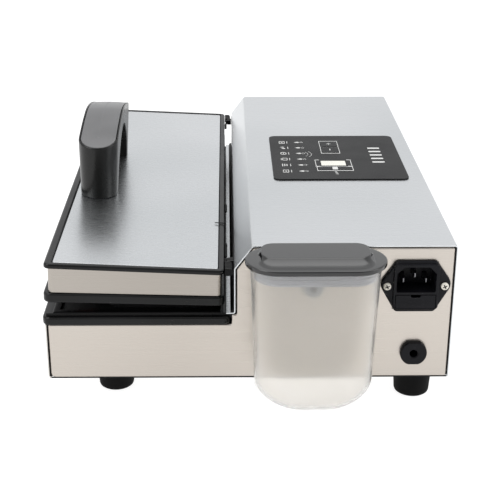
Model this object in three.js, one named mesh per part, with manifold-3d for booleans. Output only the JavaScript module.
// Countertop vacuum sealer with a low hinged lid over a vacuum channel, a raised housing
// behind it, and a clear liquid container hung on its near end. Millimetres, +Z up.
//
// The pieces are drawn in the machine's own frame: X = 0 at the front face, Y = 0 at the near
// end, Z = 0 at the cabinet's underside. The last group moves them to the part's frame, whose
// origin is the centre of the whole machine's footprint, on the surface that it stands on.
import * as THREE from "three";
import { mergeVertices } from "three/addons/utils/BufferGeometryUtils.js";
import Module from "manifold-3d";

const wasm = await Module();
wasm.setup();

// ---- Driving dimensions ------------------------------------------------------------------

const DEPTH = 254.5; // cabinet, front to back
const LENGTH = 350; // cabinet, near end to far end
const HEIGHT = 90; // cabinet, without its feet
const SHEET = 1.2; // thickness of the folded steel
const GAP = 0.3; // left between pieces that touch
const OVERHANG = 1.5; // of the plastic trims beyond the steel
const MIDDLE = LENGTH / 2;

const BASE_TOP = 37.5; // top of the low front half's steel sides
const TRIM_TOP = 43.9; // top of the base's plastic frame
const LEDGE = { front: 113, top: 45.4 }; // steel strip between the lid and the housing
const WALL = { x: 118, top: 75 }; // upright front of the housing
const SLOPE_BACK = 129.2; // where the housing's slope meets its flat top

const PIVOT = { x: 115, z: 72 }; // axis of the lid
const REST_OPEN = 1.6; // degrees that the lid stands open at rest
const LID = { front: 3.5, back: 110.5, foot: 50.2, topFront: 76.1, topBack: 74.1 };
const LID_TRIM = { front: 1.1, back: 112, top: 3 };
const LID_SKIRT = { front: 0.4, back: 112.7, height: 6.1 };

const FOOT = { height: 18, topRadius: 12.5, footRadius: 11.3, pin: 3 };
const CONTAINER = { x: 166.3, near: -38.5, far: -2, halfTop: 39.1, halfFoot: 36.3, wall: 1.8 };
const CONTAINER_Z = { foot: -9.2, bend: 12.6, mouth: 87.3, round: 18 };
const RIM = { near: -41, far: -0.9, half: 42.1, foot: 87.6, top: 90.7, crown: 93.9 };
const SPOUT = { z: 65.5, radius: 5.8, bore: 2.8 };
const INLET = { x: 229.7, z: 64.1, screw: 17.7 };
const PORT = { x: 231, z: 17.5, radius: 8.45, flat: 7.35, bore: 2.6 };
const PANEL = { x0: 147, x1: 243, y0: 122.5, y1: 227, foot: HEIGHT + 0.2, top: HEIGHT + 0.9 };
const PLATE_RECESS = 0.5; // of the end plates behind the folded sheet's edges
const LOW_END = RIM.near;
const HIGH_END = LENGTH + OVERHANG;

// ---- Materials ---------------------------------------------------------------------------

const finish = (color, roughness, metalness = 0, opacity = 1) =>
  new THREE.MeshStandardMaterial({
    color,
    roughness,
    metalness,
    opacity,
    transparent: opacity < 1,
  });
const STEEL = finish(0xcfccc8, 0.32, 1);
const BLACK = finish(0x262628, 0.45);
const BLACK_SATIN = finish(0x2c2c2e, 0.6);
const GREY_CAP = finish(0x6d6d6f, 0.4);
const RUBBER = finish(0x18181a, 0.9);
const FOAM = finish(0x1d1d1f, 1);
const SILICONE = finish(0xb9c3cc, 0.5, 0, 0.8);
const CLEAR = finish(0xe6ecef, 0.15, 0, 0.35);
const BRIGHT = finish(0xe8e8ea, 0.2, 1);
const ALUMINIUM = finish(0xc4c6c8, 0.4, 1);
const BROWN_TAPE = finish(0x8a6a48, 0.6);
const BOARD = finish(0x1f6b3a, 0.6);
const COPPER = finish(0xb06a3b, 0.45, 1);
const OVERLAY = finish(0x3a3a3c, 0.5);
const WINDOW = finish(0xe9e7dc, 0.3, 0, 0.9);

// ---- Solid helpers -----------------------------------------------------------------------

// A closed geometry as a solid that can be joined and cut.
function solid(geometry) {
  const bare = geometry.clone();
  bare.deleteAttribute("normal");
  bare.deleteAttribute("uv");
  const merged = mergeVertices(bare, 1e-4);
  return new wasm.Manifold(
    new wasm.Mesh({
      numProp: 3,
      vertProperties: merged.attributes.position.array,
      triVerts: new Uint32Array(merged.index.array),
    }),
  );
}

// A solid back as a geometry that a mesh can show.
function toGeometry(body) {
  const made = body.getMesh();
  const geometry = new THREE.BufferGeometry();
  geometry.setAttribute("position", new THREE.BufferAttribute(made.vertProperties, 3));
  geometry.setIndex(new THREE.BufferAttribute(made.triVerts, 1));
  geometry.computeVertexNormals();
  return geometry;
}

const join = (first, ...others) => others.reduce((body, other) => body.add(other), first);
const cut = (first, ...others) => others.reduce((body, other) => body.subtract(other), first);

function box(x0, x1, y0, y1, z0, z1) {
  const geometry = new THREE.BoxGeometry(x1 - x0, y1 - y0, z1 - z0);
  geometry.translate((x0 + x1) / 2, (y0 + y1) / 2, (z0 + z1) / 2);
  return solid(geometry);
}

// A cylinder or cone along an axis. a and b are its place on the other two axes, in order.
function rod(axis, radius, from, to, a, b, sides = 20, endRadius = radius) {
  const geometry = new THREE.CylinderGeometry(endRadius, radius, to - from, sides);
  const middle = (from + to) / 2;
  if (axis === "x") geometry.rotateZ(-Math.PI / 2).translate(middle, a, b);
  if (axis === "y") geometry.translate(a, middle, b);
  if (axis === "z") geometry.rotateX(Math.PI / 2).translate(a, b, middle);
  return solid(geometry);
}

const outline = (points) => new THREE.Shape(points.map(([u, v]) => new THREE.Vector2(u, v)));

function roundedRect(u0, u1, v0, v1, r) {
  const shape = new THREE.Shape();
  shape.absarc(u1 - r, v0 + r, r, -Math.PI / 2, 0);
  shape.absarc(u1 - r, v1 - r, r, 0, Math.PI / 2);
  shape.absarc(u0 + r, v1 - r, r, Math.PI / 2, Math.PI);
  shape.absarc(u0 + r, v0 + r, r, Math.PI, 1.5 * Math.PI);
  return shape;
}

// A closed outline with rounded corners: each corner is [u, v, how far back its rounding starts].
function softOutline(corners) {
  const toward = ([u, v, back], [toU, toV]) => {
    const share = back / Math.hypot(toU - u, toV - v);
    return [u + (toU - u) * share, v + (toV - v) * share];
  };
  const shape = new THREE.Shape();
  corners.forEach((corner, i) => {
    const before = corners[(i + corners.length - 1) % corners.length];
    const after = corners[(i + 1) % corners.length];
    const start = toward(corner, before);
    if (i === 0) shape.moveTo(...start);
    if (i > 0) shape.lineTo(...start);
    shape.quadraticCurveTo(corner[0], corner[1], ...toward(corner, after));
  });
  return shape;
}

// A flat outline drawn out along one axis: "x" takes (y, z), "y" takes (x, z), "z" takes (x, y).
function prism(axis, shape, from, to, arcSteps = 3) {
  const geometry = new THREE.ExtrudeGeometry(shape, {
    depth: to - from,
    bevelEnabled: false,
    curveSegments: arcSteps,
  });
  const X = new THREE.Vector3(1, 0, 0);
  const Y = new THREE.Vector3(0, 1, 0);
  const Z = new THREE.Vector3(0, 0, 1);
  if (axis === "x") geometry.applyMatrix4(new THREE.Matrix4().makeBasis(Y, Z, X));
  if (axis === "x") geometry.translate(from, 0, 0);
  if (axis === "y") geometry.rotateX(Math.PI / 2).translate(0, to, 0);
  if (axis === "z") geometry.translate(0, 0, from);
  return solid(geometry);
}

// A rectangular ring with rounded corners, seen from above, width mm wide on each side.
function ring(x0, x1, y0, y1, z0, z1, width, radius) {
  const inner = Math.max(radius - width, 1);
  const hole = roundedRect(x0 + width, x1 - width, y0 + width, y1 - width, inner);
  return cut(
    prism("z", roundedRect(x0, x1, y0, y1, radius), z0, z1),
    prism("z", hole, z0 - 1, z1 + 1),
  );
}

// The closed outline of a folded sheet: a run of points, and the same run moved sideways.
function sheetOutline(points, thickness) {
  const normal = (a, b) => {
    const length = Math.hypot(b[0] - a[0], b[1] - a[1]);
    return [(b[1] - a[1]) / length, (a[0] - b[0]) / length];
  };
  const moved = points.map((point, i) => {
    const before = normal(points[Math.max(i - 1, 0)], points[Math.max(i, 1)]);
    const last = points.length - 1;
    const after = normal(points[Math.min(i, last - 1)], points[Math.min(i + 1, last)]);
    const sum = [before[0] + after[0], before[1] + after[1]];
    const scale = (2 * thickness) / (sum[0] ** 2 + sum[1] ** 2);
    return [point[0] + sum[0] * scale, point[1] + sum[1] * scale];
  });
  return outline([...points, ...moved.reverse()]);
}

function addPiece(group, name, shape, material) {
  const mesh = new THREE.Mesh(toGeometry(shape), material);
  mesh.name = name;
  group.add(mesh);
}

// Mirrors a place from the near end to the far end.
const farSide = (y) => LENGTH - y;

// ---- Cabinet: folded pan and cover, end plates, feet ---------------------------------------

const FEET = [
  ["foot_near_front", 40.6, 26],
  ["foot_near_back", 233.9, 16],
  ["foot_far_front", 40.6, farSide(26)],
  ["foot_far_back", 233.9, farSide(16)],
];
const BACK_SCREWS = [
  ["back_screw_upper", 8, 75],
  ["back_screw_lower", 8, 21],
];
const BACK_SCREW = { shaft: 1.5, hole: 1.9, head: 3 };
const FLANGE = 14; // how far the end plates' flanges reach inwards

function basePan() {
  const backEdge = DEPTH - SHEET - GAP;
  const run = [
    [backEdge, 0],
    [0, 0],
    [0, BASE_TOP],
  ];
  const pan = prism("y", sheetOutline(run, SHEET), 0, LENGTH);
  const holes = FEET.map(([, x, y]) => rod("z", FOOT.pin + 0.4, -1, 3, x, y, 16));
  const inner = PLATE_RECESS + SHEET + GAP;
  const nearNotch = box(SHEET, DEPTH, -1, inner, -1, SHEET + 0.1);
  const farNotch = box(SHEET, DEPTH, farSide(inner), LENGTH + 1, -1, SHEET + 0.1);
  return cut(pan, nearNotch, farNotch, ...holes);
}

// The housing's outer corners, from the ledge over the top to the back's lower edge.
const COVER_RUN = [
  [LEDGE.front, LEDGE.top],
  [WALL.x, LEDGE.top],
  [WALL.x, WALL.top],
  [SLOPE_BACK, HEIGHT],
  [DEPTH, HEIGHT],
  [DEPTH, 0],
];

function housingCover() {
  const cover = prism("y", sheetOutline(COVER_RUN, SHEET), 0, LENGTH);
  const screwHoles = [8, farSide(8)].flatMap((y) =>
    [21, 75].map((z) => rod("x", BACK_SCREW.hole, DEPTH - 3, DEPTH + 1, y, z, 12)),
  );
  const keyHoles = KEYS.map((key) =>
    rod("z", KEY_STEM + 0.8, HEIGHT - 3, HEIGHT + 1, (key.x0 + key.x1) / 2, (key.y0 + key.y1) / 2, 12),
  );
  const window = box(DISPLAY.x0, DISPLAY.x1, DISPLAY.y0, DISPLAY.y1, HEIGHT - 3, HEIGHT + 1);
  return cut(cover, window, ...screwHoles, ...keyHoles);
}

// One end plate, drawn at the near end, with a flange along its back edge and one that stands on
// the pan. Its lower edge is level with the pan's underside.
function endPlate() {
  const edge = SHEET + GAP + 0.1;
  const slopeIn = 0.6;
  const back = DEPTH - edge;
  const plate = prism(
    "y",
    outline([
      [edge + 2, 0],
      [back, 0],
      [back, HEIGHT - edge],
      [SLOPE_BACK + slopeIn, HEIGHT - edge],
      [WALL.x + edge, WALL.top - slopeIn],
      [WALL.x + edge, LEDGE.top - edge],
      [WALL.x - 1.6, LEDGE.top - edge],
      [WALL.x - 1.6, BASE_TOP - GAP],
      [edge, BASE_TOP - GAP],
      [edge, 2],
    ]),
    PLATE_RECESS,
    PLATE_RECESS + SHEET,
  );
  const backFlange = box(back - SHEET, back, 1, FLANGE, 8, HEIGHT - 8);
  const footFlange = box(8, back, 1, FLANGE - 8, edge, edge + SHEET);
  const screwHoles = [21, 75].map((z) =>
    rod("x", BACK_SCREW.hole, back - 3, back + 1, 8, z, 12),
  );
  return cut(join(plate, backFlange, footFlange), ...screwHoles);
}

function nearEndPlate() {
  const screws = [-1, 1].map((side) =>
    rod("y", 1.8, -2, 4, INLET.x + side * INLET.screw, INLET.z, 12),
  );
  return cut(
    endPlate(),
    box(INLET.x - 13.6, INLET.x + 13.6, -2, 4, INLET.z - 15.9, INLET.z + 15.9),
    rod("y", 5.5, -2, 4, PORT.x, PORT.z, 20),
    rod("y", 4.5, -2, 4, CONTAINER.x, SPOUT.z, 20),
    ...screws,
  );
}

function farEndPlate() {
  const mirror = new THREE.Matrix4().makeScale(1, -1, 1).setPosition(0, LENGTH, 0);
  const geometry = toGeometry(endPlate()).applyMatrix4(mirror);
  const order = geometry.index.array;
  for (let i = 0; i < order.length; i += 3) {
    [order[i + 1], order[i + 2]] = [order[i + 2], order[i + 1]];
  }
  return solid(geometry);
}

// A rubber foot: a cone with a rounded lower edge and a pin pushed through the pan.
function foot(x, y) {
  const flare = FOOT.footRadius;
  const profile = [
    [0, -FOOT.height],
    [flare - 1.6, -FOOT.height],
    [flare - 0.4, -FOOT.height + 0.7],
    [flare, -FOOT.height + 2],
    [FOOT.topRadius, -GAP],
    [FOOT.pin, -GAP],
    [FOOT.pin, 5],
    [0, 5],
  ];
  const points = profile.map(([r, z]) => new THREE.Vector2(r, z));
  const geometry = new THREE.LatheGeometry(points, 18).rotateX(Math.PI / 2);
  return solid(geometry.translate(x, y, 0));
}

function backScrew(y, z) {
  const headFoot = DEPTH + 0.2;
  return join(
    rod("x", BACK_SCREW.head, headFoot, DEPTH + OVERHANG, y, z, 16, BACK_SCREW.head - 0.7),
    rod("x", BACK_SCREW.shaft, DEPTH - 8, headFoot + 0.4, y, z, 12),
  );
}

// ---- Base: frame, deck, vacuum channel, gasket and seal bar ---------------------------------

const FRAME_BAND = 10.5; // width of the base's plastic frame, seen from above
const DECK = { x0: 9.3, x1: 105, y0: 9.3, top: 42.3, thick: 3.6 };
const CHANNEL = { x0: 50, x1: 96, y0: 26, foot: 20, wall: 1.2, lip: 3 };
const GASKET = { x0: 38, x1: 104.6, y0: 14, width: 7, foot: DECK.top + GAP, top: 48.4 };
const BAR = { x0: 17.3, x1: 28.7, y0: 25, foot: 33, top: 45.4 };
const NIPPLE = { y: 60, z: 28, radius: 3.6, bore: 2.2, end: 104 };

function baseTrim() {
  const back = WALL.x - 2.2;
  return ring(-OVERHANG, back, -OVERHANG, HIGH_END, BASE_TOP + GAP, TRIM_TOP, FRAME_BAND, 5);
}

function deckPlate() {
  const foot = DECK.top - DECK.thick;
  const slab = box(DECK.x0, DECK.x1, DECK.y0, farSide(DECK.y0), foot, DECK.top);
  const channelHole = box(
    CHANNEL.x0 - GAP,
    CHANNEL.x1 + GAP,
    CHANNEL.y0 - GAP,
    farSide(CHANNEL.y0 - GAP),
    foot - 1,
    DECK.top + 1,
  );
  const barHole = box(
    BAR.x0 - GAP,
    BAR.x1 + GAP,
    BAR.y0 - GAP,
    farSide(BAR.y0 - GAP),
    foot - 1,
    DECK.top + 1,
  );
  return cut(slab, channelHole, barHole);
}

// The channel that the air is drawn from: a long tub with a lip and a hose nipple.
function vacuumChannel() {
  const { x0, x1, y0, foot, wall, lip } = CHANNEL;
  const y1 = farSide(y0);
  const lipFoot = DECK.top + GAP;
  const tub = join(
    box(x0, x1, y0, y1, foot, lipFoot + 1),
    box(x0 - lip, x1 + lip - 1, y0 - lip, y1 + lip, lipFoot, lipFoot + 1),
    rod("x", NIPPLE.radius, x1 - wall / 2, NIPPLE.end, NIPPLE.y, NIPPLE.z, 16),
  );
  return cut(
    tub,
    box(x0 + wall, x1 - wall, y0 + wall, y1 - wall, foot + wall, lipFoot + 3),
    rod("x", NIPPLE.bore, x1 - 2 * wall, NIPPLE.end + 1, NIPPLE.y, NIPPLE.z, 12),
  );
}

function deckGasket() {
  const { x0, x1, y0, width, foot, top } = GASKET;
  return ring(x0, x1, y0, farSide(y0), foot, top, width - 1.6, 9);
}

function barStrip(x0, x1, z0, z1) {
  return box(x0, x1, BAR.y0, farSide(BAR.y0), z0, z1);
}

// ---- Lid: steel shell between two plastic frames --------------------------------------------

// Height of the lid's sloping top over a place, in its closed position.
const lidTop = (x) => {
  const share = (x - LID.front) / (LID_TRIM.back - LID.front);
  return LID.topFront + share * (LID.topBack - LID.topFront);
};

// A slab that follows the lid's sloping top, from low to high below or above it.
function slopingSlab(x0, x1, y0, y1, low, high, radius) {
  const side = outline([
    [x0, lidTop(x0) + low],
    [x1, lidTop(x1) + low],
    [x1, lidTop(x1) + high],
    [x0, lidTop(x0) + high],
  ]);
  const plan = prism("z", roundedRect(x0, x1, y0, y1, radius), 0, 200);
  return prism("y", side, y0 - 1, y1 + 1).intersect(plan);
}

const TOP_BORDER = { front: 5, back: 3.6, side: 4 }; // black border round the lid's top plate

function lidTopTrim() {
  const { front, back, top } = LID_TRIM;
  const frame = slopingSlab(front, back, -OVERHANG, HIGH_END, -top, 0, 4);
  const y0 = TOP_BORDER.side - OVERHANG;
  const opening = roundedRect(front + TOP_BORDER.front, back - TOP_BORDER.back, y0, farSide(y0), 2);
  return cut(frame, prism("z", opening, 0, 200));
}

function lidTopPlate() {
  const y0 = TOP_BORDER.side + GAP - OVERHANG;
  const plate = slopingSlab(
    LID_TRIM.front + TOP_BORDER.front + GAP,
    LID_TRIM.back - TOP_BORDER.back - GAP,
    y0,
    farSide(y0),
    -0.4 - SHEET,
    -0.4,
    2,
  );
  const holes = HANDLE_SCREWS.map((y) => rod("z", HANDLE.screw + 0.4, 60, 90, HANDLE.x, y, 12));
  return cut(plate, ...holes);
}

function lidBand() {
  const foot = LID.foot + LID_SKIRT.height + GAP;
  const shell = ring(LID.front, LID.back, 0, LENGTH, foot, 90, SHEET, 3);
  const above = slopingSlab(-10, 130, -10, LENGTH + 10, -LID_TRIM.top - GAP, 40, 1);
  return cut(shell, above);
}

function lidBottomTrim() {
  const { front, back, height } = LID_SKIRT;
  return ring(front, back, -OVERHANG, HIGH_END, LID.foot, LID.foot + height, 8.5, 5);
}

const LINER = { x0: 10, x1: 103, y0: 7.5, foot: 52, top: 54.6 };
const LINER_POST = 6; // radius of the posts that the handle's screws pass through

function lidLiner() {
  const slab = box(LINER.x0, LINER.x1, LINER.y0, farSide(LINER.y0), LINER.foot, LINER.top);
  const posts = HANDLE_SCREWS.map((y) =>
    rod("z", LINER_POST, LINER.foot, lidTop(LID.front) - 4, HANDLE.x, y, 16),
  );
  const holes = HANDLE_SCREWS.flatMap((y) => [
    rod("z", HANDLE.screw + 0.4, 40, 100, HANDLE.x, y, 12),
    rod("z", HANDLE.head + 0.4, 40, LINER.foot + 2.5, HANDLE.x, y, 12),
  ]);
  return cut(join(slab, ...posts), ...holes);
}

function lidGasket() {
  const { x0, y0, width } = GASKET;
  return ring(x0, LINER.x1 - 0.4, y0, farSide(y0), 49, LINER.foot - GAP, width, 9);
}

// ---- Handle --------------------------------------------------------------------------------

const HANDLE = {
  x: 22.5,
  y0: 117,
  y1: 239,
  halfTop: 13.6,
  halfFoot: 12.6,
  end: 112.6,
  crown: 124.3,
  archHalf: 39,
  archTop: 112.3,
  screw: 1.8,
  head: 3.4,
};
const HANDLE_SCREWS = [HANDLE.y0 + 9, HANDLE.y1 - 9];
const HANDLE_MIDDLE = (HANDLE.y0 + HANDLE.y1) / 2;
const CAP = { inset: 1, depth: 2, proud: 0.5 };

function stadium(x0, x1, y0, y1) {
  return roundedRect(x0, x1, y0, y1, (x1 - x0) / 2 - 0.01);
}

// The bar of the handle is bowed, and highest at its middle.
const handleTop = (y) => {
  const share = Math.min(Math.abs(y - HANDLE_MIDDLE) / (HANDLE.y1 - HANDLE_MIDDLE), 1);
  return HANDLE.crown - (HANDLE.crown - HANDLE.end) * share ** 1.6;
};

// A slab that follows the bowed top, from low to high below or above it.
function bowedSlab(low, high) {
  const { x, y0, y1 } = HANDLE;
  const steps = 16;
  const bow = Array.from({ length: steps + 1 }, (_, i) => y0 + ((y1 - y0) * i) / steps);
  const run = [y0 - 1, ...bow, y1 + 1];
  const over = run.map((y) => [y, handleTop(y) + high]);
  const under = run.map((y) => [y, handleTop(y) + low]).reverse();
  return prism("x", outline([...under, ...over]), x - 20, x + 20);
}

function handleBody() {
  const { x, y0, y1, halfTop, halfFoot, end, crown, archHalf, archTop } = HANDLE;
  const foot = lidTop(x);
  const lean = (halfTop - halfFoot) / (end - foot);
  const half = halfFoot + lean * (crown - foot);
  const flare = prism(
    "y",
    outline([
      [x - halfFoot, lidTop(x - halfFoot) + 0.1],
      [x + halfFoot, lidTop(x + halfFoot) + 0.1],
      [x + half, crown],
      [x - half, crown],
    ]),
    y0,
    y1,
  );
  const plan = prism("z", stadium(x - half, x + half, y0, y1), 0, 200, 6);
  const arch = new THREE.Shape();
  arch.absellipse(HANDLE_MIDDLE, foot, archHalf, archTop - foot, 0, Math.PI);
  arch.lineTo(HANDLE_MIDDLE - archHalf, foot - 5);
  arch.lineTo(HANDLE_MIDDLE + archHalf, foot - 5);
  const opening = prism("x", arch, x - 20, x + 20, 8);
  const seatHalf = halfTop - CAP.inset;
  const seatPlan = stadium(x - seatHalf, x + seatHalf, y0 + CAP.inset, y1 - CAP.inset);
  const seat = prism("z", seatPlan, 90, 200, 6).intersect(bowedSlab(-CAP.depth, 20));
  const holes = HANDLE_SCREWS.map((y) => rod("z", HANDLE.screw + GAP, foot - 5, foot + 16, x, y, 12));
  return cut(flare.intersect(plan).intersect(bowedSlab(-80, 0)), opening, seat, ...holes);
}

function handleCap() {
  const { x, y0, y1, halfTop } = HANDLE;
  const inset = CAP.inset + GAP;
  const plan = stadium(x - halfTop + inset, x + halfTop - inset, y0 + inset, y1 - inset);
  return prism("z", plan, 90, 200, 6).intersect(bowedSlab(GAP - CAP.depth, CAP.proud));
}

function handleScrew(y) {
  const foot = LINER.foot + 0.2;
  return join(
    rod("z", HANDLE.head, foot, foot + 2, HANDLE.x, y, 16),
    rod("z", HANDLE.screw, foot + 1, lidTop(HANDLE.x) + 14, HANDLE.x, y, 12),
  );
}

// ---- Hinges --------------------------------------------------------------------------------

const KNUCKLE = { radius: 2.4, y0: 1.5, split: 14, y1: 20, half: 2.4 };
const PIN = { radius: 1.2, bore: 1.3, sides: 24 };

// The lid's half of a hinge: a knuckle on the axis with an arm to the lid's back edge.
function hingeArm(y0, y1) {
  const front = LID_TRIM.back + GAP;
  return cut(
    join(
      rod("y", KNUCKLE.radius, y0, y1, PIVOT.x, PIVOT.z, 24),
      box(front, PIVOT.x, y0, y1, PIVOT.z - KNUCKLE.half, PIVOT.z + KNUCKLE.half),
    ),
    rod("y", PIN.bore, y0 - 1, y1 + 1, PIVOT.x, PIVOT.z, PIN.sides),
  );
}

// The housing's half: a lug on the upright wall that holds the pin.
function hingeBracket(y0, y1) {
  const back = WALL.x - GAP;
  return cut(
    join(
      rod("y", KNUCKLE.radius, y0, y1, PIVOT.x, PIVOT.z, 24),
      box(PIVOT.x, back, y0, y1, PIVOT.z - KNUCKLE.half, PIVOT.z + KNUCKLE.half),
    ),
    rod("y", PIN.bore, y0 - 1, y1 + 1, PIVOT.x, PIVOT.z, PIN.sides),
  );
}

function hingePin(y0, y1) {
  return rod("y", PIN.radius, y0, y1, PIVOT.x, PIVOT.z, PIN.sides);
}

// ---- Control panel, keys and boards ---------------------------------------------------------

const KEYS = [
  { name: "key_more", x0: 185.7, x1: 198.5, y0: 197.6, y1: 210.8 },
  { name: "key_less", x0: 185.7, x1: 198.5, y0: 183.2, y1: 196.4 },
  { name: "key_start", x0: 179.9, x1: 204.5, y0: 141.8, y1: 148.8 },
];
const DISPLAY = { x0: 183, x1: 201, y0: 153, y1: 164 };
const KEY_STEM = 1.5;
const KEY_LIFT = 0.6; // of a key's underside above the cover, so that it can travel
const BOARD_TOP = 80;

function controlOverlay() {
  const { x0, x1, y0, y1, foot, top } = PANEL;
  const windows = [...KEYS, DISPLAY].map((hole) =>
    box(hole.x0 - GAP, hole.x1 + GAP, hole.y0 - GAP, hole.y1 + GAP, foot - 1, top + 1),
  );
  return cut(prism("z", roundedRect(x0, x1, y0, y1, 5), foot, top), ...windows);
}

function key({ x0, x1, y0, y1 }) {
  const foot = HEIGHT + KEY_LIFT;
  const stem = rod("z", KEY_STEM, BOARD_TOP + 2.4, foot + 0.3, (x0 + x1) / 2, (y0 + y1) / 2, 12);
  return join(box(x0, x1, y0, y1, foot, foot + 0.7), stem);
}

function displayWindow() {
  const { x0, x1, y0, y1 } = DISPLAY;
  return box(x0, x1, y0, y1, PANEL.foot, PANEL.top - 0.1);
}

// The board under the panel, with its posts, switches and display block.
function controlBoard() {
  const slab = box(160, 238, 132, 222, BOARD_TOP - 1.6, BOARD_TOP);
  const posts = [165, 233].flatMap((x) =>
    [137, 217].map((y) => rod("z", 2.5, BOARD_TOP - 1, HEIGHT - SHEET - GAP, x, y, 10)),
  );
  const switches = KEYS.map(({ x0, x1, y0, y1 }) => {
    const x = (x0 + x1) / 2;
    const y = (y0 + y1) / 2;
    return box(x - 3, x + 3, y - 3, y + 3, BOARD_TOP - 0.5, BOARD_TOP + 1.7);
  });
  const { x0, x1, y0, y1 } = DISPLAY;
  const digits = box(x0 + 1, x1 - 1, y0 + 1, y1 - 1, BOARD_TOP - 0.5, HEIGHT - SHEET);
  return join(slab, digits, ...posts, ...switches);
}

// ---- Pump, motor, transformer, valve and hoses ------------------------------------------------

const FLOOR = SHEET + GAP; // top of the pan, with the gap left under what stands on it
const MOTOR = { x: 178, z: 34, radius: 23, y0: 150, y1: 222 };
const PUMP = { x0: 152, x1: 204, y1: 276, top: 60, ports: 186 };
const VALVE = { x0: 130, x1: 148, y0: 46, y1: 84, z: 28, top: 46 };
const HOSE = { radius: 3.6, bore: 2.2 };

function pumpMotor() {
  const { x, z, radius, y0, y1 } = MOTOR;
  return join(
    rod("y", radius, y0, y1, x, z, 24),
    box(x - 16, x + 16, y0 + 8, y1 - 8, FLOOR, z - 12),
    rod("y", 7, y0 - 6, y0 + 1, x, z, 16),
  );
}

function vacuumPump() {
  const { x0, x1, y1, top } = PUMP;
  const y0 = MOTOR.y1 + GAP;
  const head = box(x0, x1, y0, y1, FLOOR + 6, top);
  const base = box(x0 + 6, x1 - 6, y0 + 4, y1 - 4, FLOOR, FLOOR + 7);
  const cylinders = [y0 + 14, y1 - 14].map((y) => rod("z", 11, top - 1, top + 14, MOTOR.x, y, 16));
  const nipple = rod("x", 3, x0 - 8, x0 + 1, y0 + 14, VALVE.z, 12);
  return join(head, base, nipple, ...cylinders);
}

// A laminated core on end with its winding round the middle leg.
function transformer() {
  const core = box(192, 244, 56, 92, FLOOR, 50);
  const winding = prism("z", roundedRect(200, 236, 44, 104, 6), 9, 42);
  const feet = box(192, 244, 48, 100, FLOOR, 3.5);
  return join(core, winding, feet);
}

function solenoidValve() {
  const { x0, x1, y0, y1, z, top } = VALVE;
  return join(
    box(x0, x1, y0, y1, 12, top),
    box(x0 + 3, x1 - 3, y0 + 6, y0 + 28, FLOOR, 13),
    rod("z", 6, top - 1, top + 12, (x0 + x1) / 2, (y0 + y1) / 2, 16),
    rod("y", 3, y1 - 1, y1 + 8, (x0 + x1) / 2, z, 12),
  );
}

// A hose: an eight-sided tube along a smooth path.
function hose(points, steps) {
  const section = new THREE.Shape().absarc(0, 0, HOSE.radius, 0, 2 * Math.PI);
  section.holes.push(new THREE.Path().absarc(0, 0, HOSE.bore, 0, 2 * Math.PI));
  const path = new THREE.CatmullRomCurve3(points.map((point) => new THREE.Vector3(...point)));
  const options = { extrudePath: path, steps, curveSegments: 4, bevelEnabled: false };
  return solid(new THREE.ExtrudeGeometry(section, options));
}

function suctionHose() {
  const end = VALVE.x0 - GAP;
  return hose(
    [
      [NIPPLE.end + GAP, NIPPLE.y, NIPPLE.z],
      [(NIPPLE.end + end) / 2, NIPPLE.y, NIPPLE.z],
      [end, NIPPLE.y, NIPPLE.z],
    ],
    2,
  );
}

function pumpHose() {
  const x = (VALVE.x0 + VALVE.x1) / 2;
  const endX = PUMP.x0 - 8 - GAP;
  const endY = MOTOR.y1 + GAP + 14;
  return hose(
    [
      [x, VALVE.y1 + 8 + GAP, VALVE.z],
      [x, VALVE.y1 + 22, VALVE.z],
      [x - 10, 140, VALVE.z],
      [x - 12, 190, VALVE.z],
      [x - 9, endY - 12, VALVE.z],
      [endX - 5, endY, VALVE.z],
      [endX, endY, VALVE.z],
    ],
    12,
  );
}

function drainHose() {
  const valveX = (VALVE.x0 + VALVE.x1) / 2;
  const endY = (VALVE.y0 + VALVE.y1) / 2;
  return hose(
    [
      [CONTAINER.x, 18, SPOUT.z],
      [CONTAINER.x, 27, SPOUT.z],
      [CONTAINER.x - 4, 36, SPOUT.z + 2],
      [CONTAINER.x - 14, 50, SPOUT.z + 3],
      [valveX + 6, endY - 3, SPOUT.z + 5],
      [valveX, endY, VALVE.top + 19],
      [valveX, endY, VALVE.top + 12 + GAP],
    ],
    11,
  );
}

// ---- Power inlet with its fuse drawer, accessory port and drain spout ------------------------------

const SOCKET = { half: 12.15, foot: -3.5, top: 13.15, depth: 12, face: -4 };
const BLOCK = { half: 14, low: -15.3, high: 14.9, corner: 2.5 }; // the inlet's raised face
const DRAWER = { half: 12.2, foot: -14.4, top: -5.5, back: 12 };
const BLADES = [
  ["line_pin", -7, 1.6],
  ["earth_pin", 0, 5],
  ["neutral_pin", 7, 1.6],
];
const BLADE = { halfX: 1, halfZ: 2, front: 3, back: 27 };
const FUSE = { radius: 2.5, half: 10, y: 6 };

function inletPiece(x0, x1, y0, y1, z0, z1) {
  return box(INLET.x + x0, INLET.x + x1, y0, y1, INLET.z + z0, INLET.z + z1);
}

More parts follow.
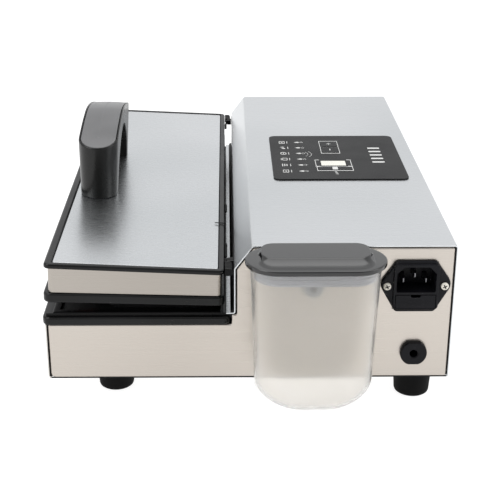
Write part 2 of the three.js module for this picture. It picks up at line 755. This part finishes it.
function powerInlet() {
  const { x, z, screw } = INLET;
  const wing = softOutline([
    [x - 12.2, z - 17.7, 2.5],
    [x + 12.2, z - 17.7, 2.5],
    [x + 22.7, z + 1.1, 5],
    [x + 12.3, z + 16.4, 2.5],
    [x - 12.3, z + 16.4, 2.5],
    [x - 22.7, z + 1.1, 5],
  ]);
  const { low, high, half: blockHalf, corner: blockCorner } = BLOCK;
  const block = roundedRect(x - blockHalf, x + blockHalf, z + low, z + high, blockCorner);
  const body = join(
    prism("y", wing, -2.2, 0.2),
    prism("y", block, SOCKET.face, 0.2),
    inletPiece(-13.2, 13.2, -1, 22, low, high),
  );
  const { half, foot, top, depth } = SOCKET;
  const corner = 4.5;
  const recess = prism(
    "y",
    outline([
      [x - half, z + foot],
      [x + half, z + foot],
      [x + half, z + top - corner],
      [x + half - corner, z + top],
      [x - half + corner, z + top],
      [x - half, z + top - corner],
    ]),
    SOCKET.face - 1,
    depth,
  );
  const drawerSlot = inletPiece(
    -DRAWER.half - GAP,
    DRAWER.half + GAP,
    SOCKET.face - 1,
    DRAWER.back + 1,
    DRAWER.foot - GAP,
    DRAWER.top + GAP,
  );
  const bladeHoles = BLADES.map(([, dx, dz]) => {
    const gapX = BLADE.halfX + GAP;
    const gapZ = BLADE.halfZ + GAP;
    return inletPiece(dx - gapX, dx + gapX, 8, 30, dz - gapZ, dz + gapZ);
  });
  const screwHoles = [-1, 1].map((side) => rod("y", 1.7, -5, 3, x + side * screw, z, 12));
  return cut(body, recess, drawerSlot, ...bladeHoles, ...screwHoles);
}

function blade(dx, dz) {
  const { halfX, halfZ, front, back } = BLADE;
  return inletPiece(dx - halfX, dx + halfX, front, back, dz - halfZ, dz + halfZ);
}

function fuseDrawer() {
  const { half, foot, top, back } = DRAWER;
  const middle = (foot + top) / 2;
  return cut(
    inletPiece(-half, half, SOCKET.face - 0.2, back, foot, top),
    inletPiece(-11, 11, FUSE.y - 3, FUSE.y + 3, middle - 3, top + 1),
    inletPiece(-3, 3, SOCKET.face - 1, SOCKET.face + 1, top - 1.4, top + 1),
  );
}

function fuse() {
  const z = INLET.z + (DRAWER.foot + DRAWER.top) / 2;
  return rod("x", FUSE.radius, INLET.x - FUSE.half, INLET.x + FUSE.half, FUSE.y, z, 16);
}

function inletScrew(side) {
  const x = INLET.x + side * INLET.screw;
  return join(
    rod("y", 1.9, -4, -2.4, x, INLET.z, 16, 2.45),
    rod("y", 1.4, -3, 8, x, INLET.z, 12),
  );
}

function accessoryPort() {
  const { x, z, radius, flat, bore } = PORT;
  const face = rod("y", radius, -3, 0.2, x, z, 28);
  const flats = box(x - 20, x + 20, -4, 1, z - flat, z + flat);
  const tail = rod("y", 5, 0, 14, x, z, 20);
  return cut(join(face.intersect(flats), tail), rod("y", bore, -5, 15, x, z, 16));
}

function drainSpout() {
  const x = CONTAINER.x;
  return cut(
    join(
      rod("y", 7.5, CONTAINER.far + GAP, 0.2, x, SPOUT.z, 24),
      rod("y", SPOUT.radius, -9, 0.2, x, SPOUT.z, 24),
      rod("y", 4, 0, 17.5, x, SPOUT.z, 20),
    ),
    rod("y", SPOUT.bore, -10, 19, x, SPOUT.z, 16),
  );
}

// ---- Liquid container ------------------------------------------------------------------------

// The container's body: upright sides that close in a foot that is round both ways, with round
// ends in plan.
function containerForm(inset, top) {
  const { x, near, far, halfTop, halfFoot } = CONTAINER;
  const { foot, bend } = CONTAINER_Z;
  const front = new THREE.Shape();
  front.absellipse(x, bend, halfFoot - inset, bend - foot - inset, Math.PI, 2 * Math.PI);
  front.lineTo(x + halfTop - inset, top);
  front.lineTo(x - halfTop + inset, top);
  const plan = roundedRect(
    x - halfTop + inset,
    x + halfTop - inset,
    near + inset,
    far - inset,
    (far - near) / 2 - inset - 0.01,
  );
  const side = roundedRect(near + inset, far - inset, foot + inset, top + 30, CONTAINER_Z.round - inset);
  return prism("y", front, near, far, 7)
    .intersect(prism("z", plan, foot - 1, top, 5))
    .intersect(prism("x", side, x - halfTop, x + halfTop, 4));
}

function dripContainer() {
  const { x, far, wall } = CONTAINER;
  return cut(
    containerForm(0, CONTAINER_Z.mouth),
    containerForm(wall, CONTAINER_Z.mouth + 1),
    rod("y", SPOUT.radius + 0.5, far - 2 * wall, far + 1, x, SPOUT.z, 24),
  );
}

// A ring that follows the container's mouth inside its wall.
function mouthRing(inset, width, z0, z1) {
  const { x, near, far, halfTop } = CONTAINER;
  const plan = (add) => {
    const radius = (far - near) / 2 - add - 0.01;
    return roundedRect(x - halfTop + add, x + halfTop - add, near + add, far - add, radius);
  };
  return cut(
    prism("z", plan(inset), z0, z1, 5),
    prism("z", plan(inset + width), z0 - 1, z1 + 1, 5),
  );
}

const SEAL_WIDTH = 2.2;
const SEAL_FOOT = 79;

function containerSeal() {
  return mouthRing(CONTAINER.wall + 0.5, SEAL_WIDTH, SEAL_FOOT, RIM.foot - GAP);
}

// The middle of the container's lid, raised above its rim, with a sloping near side.
const RAISED = { near: 4, edge: 10.4, far: 3.5, half: 34 };

function containerLid() {
  const { near, far, half, foot, top, crown } = RIM;
  const x = CONTAINER.x;
  const rimPlan = roundedRect(x - half, x + half, near, far, (far - near) / 2 - 0.01);
  const rim = prism("z", rimPlan, foot, top, 6);
  const { near: raisedNear, far: raisedFar, half: raisedHalf, edge } = RAISED;
  const raisedSide = outline([
    [near + raisedNear, top - 1],
    [far - raisedFar, top - 1],
    [far - raisedFar, crown],
    [near + edge, crown],
    [near + raisedNear, top + 0.4],
  ]);
  const raisedPlan = roundedRect(x - raisedHalf, x + raisedHalf, near + raisedNear, far - raisedFar, 4);
  const raised = prism("x", raisedSide, x - half, x + half).intersect(prism("z", raisedPlan, 0, 200));
  const skirt = mouthRing(CONTAINER.wall + 0.5 + SEAL_WIDTH + GAP, 1.6, SEAL_FOOT + 1, foot + 1);
  return join(rim, raised, skirt);
}

// ---- Assembly ----------------------------------------------------------------------------------

const base = new THREE.Group();
addPiece(base, "base_pan", basePan(), STEEL);
addPiece(base, "near_end_plate", nearEndPlate(), STEEL);
addPiece(base, "far_end_plate", farEndPlate(), STEEL);
addPiece(base, "housing_cover", housingCover(), STEEL);
for (const [name, x, y] of FEET) addPiece(base, name, foot(x, y), RUBBER);
for (const [name, y, z] of BACK_SCREWS) addPiece(base, name, backScrew(y, z), BRIGHT);

addPiece(base, "base_trim", baseTrim(), BLACK);
addPiece(base, "deck_plate", deckPlate(), BLACK_SATIN);
addPiece(base, "vacuum_channel", vacuumChannel(), STEEL);
addPiece(base, "deck_gasket", deckGasket(), FOAM);
addPiece(base, "seal_bar", barStrip(BAR.x0, BAR.x1, BAR.foot, BAR.top), ALUMINIUM);
addPiece(base, "heating_strip", barStrip(20.5, 25.5, BAR.top + 0.3, BAR.top + 0.6), BRIGHT);
addPiece(base, "release_tape", barStrip(BAR.x0, BAR.x1, BAR.top + 0.9, BAR.top + 1.2), BROWN_TAPE);

addPiece(base, "control_overlay", controlOverlay(), OVERLAY);
addPiece(base, "display_window", displayWindow(), WINDOW);
addPiece(base, "control_board", controlBoard(), BOARD);
for (const spec of KEYS) addPiece(base, spec.name, key(spec), OVERLAY);

addPiece(base, "pump_motor", pumpMotor(), BLACK_SATIN);
addPiece(base, "vacuum_pump", vacuumPump(), ALUMINIUM);
addPiece(base, "transformer", transformer(), COPPER);
addPiece(base, "solenoid_valve", solenoidValve(), BLACK_SATIN);
addPiece(base, "suction_hose", suctionHose(), SILICONE);
addPiece(base, "pump_hose", pumpHose(), SILICONE);
addPiece(base, "drain_hose", drainHose(), SILICONE);

addPiece(base, "power_inlet", powerInlet(), BLACK);
for (const [name, dx, dz] of BLADES) addPiece(base, name, blade(dx, dz), BRIGHT);
addPiece(base, "fuse_drawer", fuseDrawer(), BLACK);
addPiece(base, "fuse", fuse(), CLEAR);
addPiece(base, "inlet_screw_left", inletScrew(-1), BRIGHT);
addPiece(base, "inlet_screw_right", inletScrew(1), BRIGHT);
addPiece(base, "accessory_port", accessoryPort(), BLACK);
addPiece(base, "drain_spout", drainSpout(), SILICONE);

addPiece(base, "drip_container", dripContainer(), CLEAR);
addPiece(base, "container_seal", containerSeal(), SILICONE);
addPiece(base, "container_lid", containerLid(), BLACK_SATIN);

const lid = new THREE.Group();
lid.position.set(-PIVOT.x, 0, -PIVOT.z);
addPiece(lid, "lid_band", lidBand(), STEEL);
addPiece(lid, "lid_top_plate", lidTopPlate(), STEEL);
addPiece(lid, "lid_top_trim", lidTopTrim(), BLACK);
addPiece(lid, "lid_bottom_trim", lidBottomTrim(), BLACK);
addPiece(lid, "lid_liner", lidLiner(), BLACK_SATIN);
addPiece(lid, "lid_gasket", lidGasket(), FOAM);
addPiece(lid, "seal_cushion", barStrip(BAR.x0, BAR.x1, 47.2, LINER.foot - GAP), RUBBER);
addPiece(lid, "handle_body", handleBody(), BLACK);
addPiece(lid, "handle_cap", handleCap(), GREY_CAP);
addPiece(lid, "handle_screw_near", handleScrew(HANDLE_SCREWS[0]), BRIGHT);
addPiece(lid, "handle_screw_far", handleScrew(HANDLE_SCREWS[1]), BRIGHT);

const { y0: armStart, split, y1: lugEnd } = KNUCKLE;
addPiece(lid, "hinge_arm_near", hingeArm(armStart, split - GAP), BLACK);
addPiece(lid, "hinge_arm_far", hingeArm(farSide(split - GAP), farSide(armStart)), BLACK);
addPiece(base, "hinge_bracket_near", hingeBracket(split, lugEnd), BLACK);
addPiece(base, "hinge_bracket_far", hingeBracket(farSide(lugEnd), farSide(split)), BLACK);
addPiece(base, "hinge_pin_near", hingePin(armStart + 0.5, lugEnd - 0.5), BRIGHT);
addPiece(base, "hinge_pin_far", hingePin(farSide(lugEnd - 0.5), farSide(armStart + 0.5)), BRIGHT);

const lidSwing = new THREE.Group();
lidSwing.position.set(PIVOT.x, 0, PIVOT.z);
lidSwing.rotation.y = THREE.MathUtils.degToRad(REST_OPEN);
lidSwing.add(lid);

const sealer = new THREE.Group();
sealer.position.set(-DEPTH / 2, -(LOW_END + HIGH_END) / 2, FOOT.height);
sealer.add(base, lidSwing);

export default sealer;
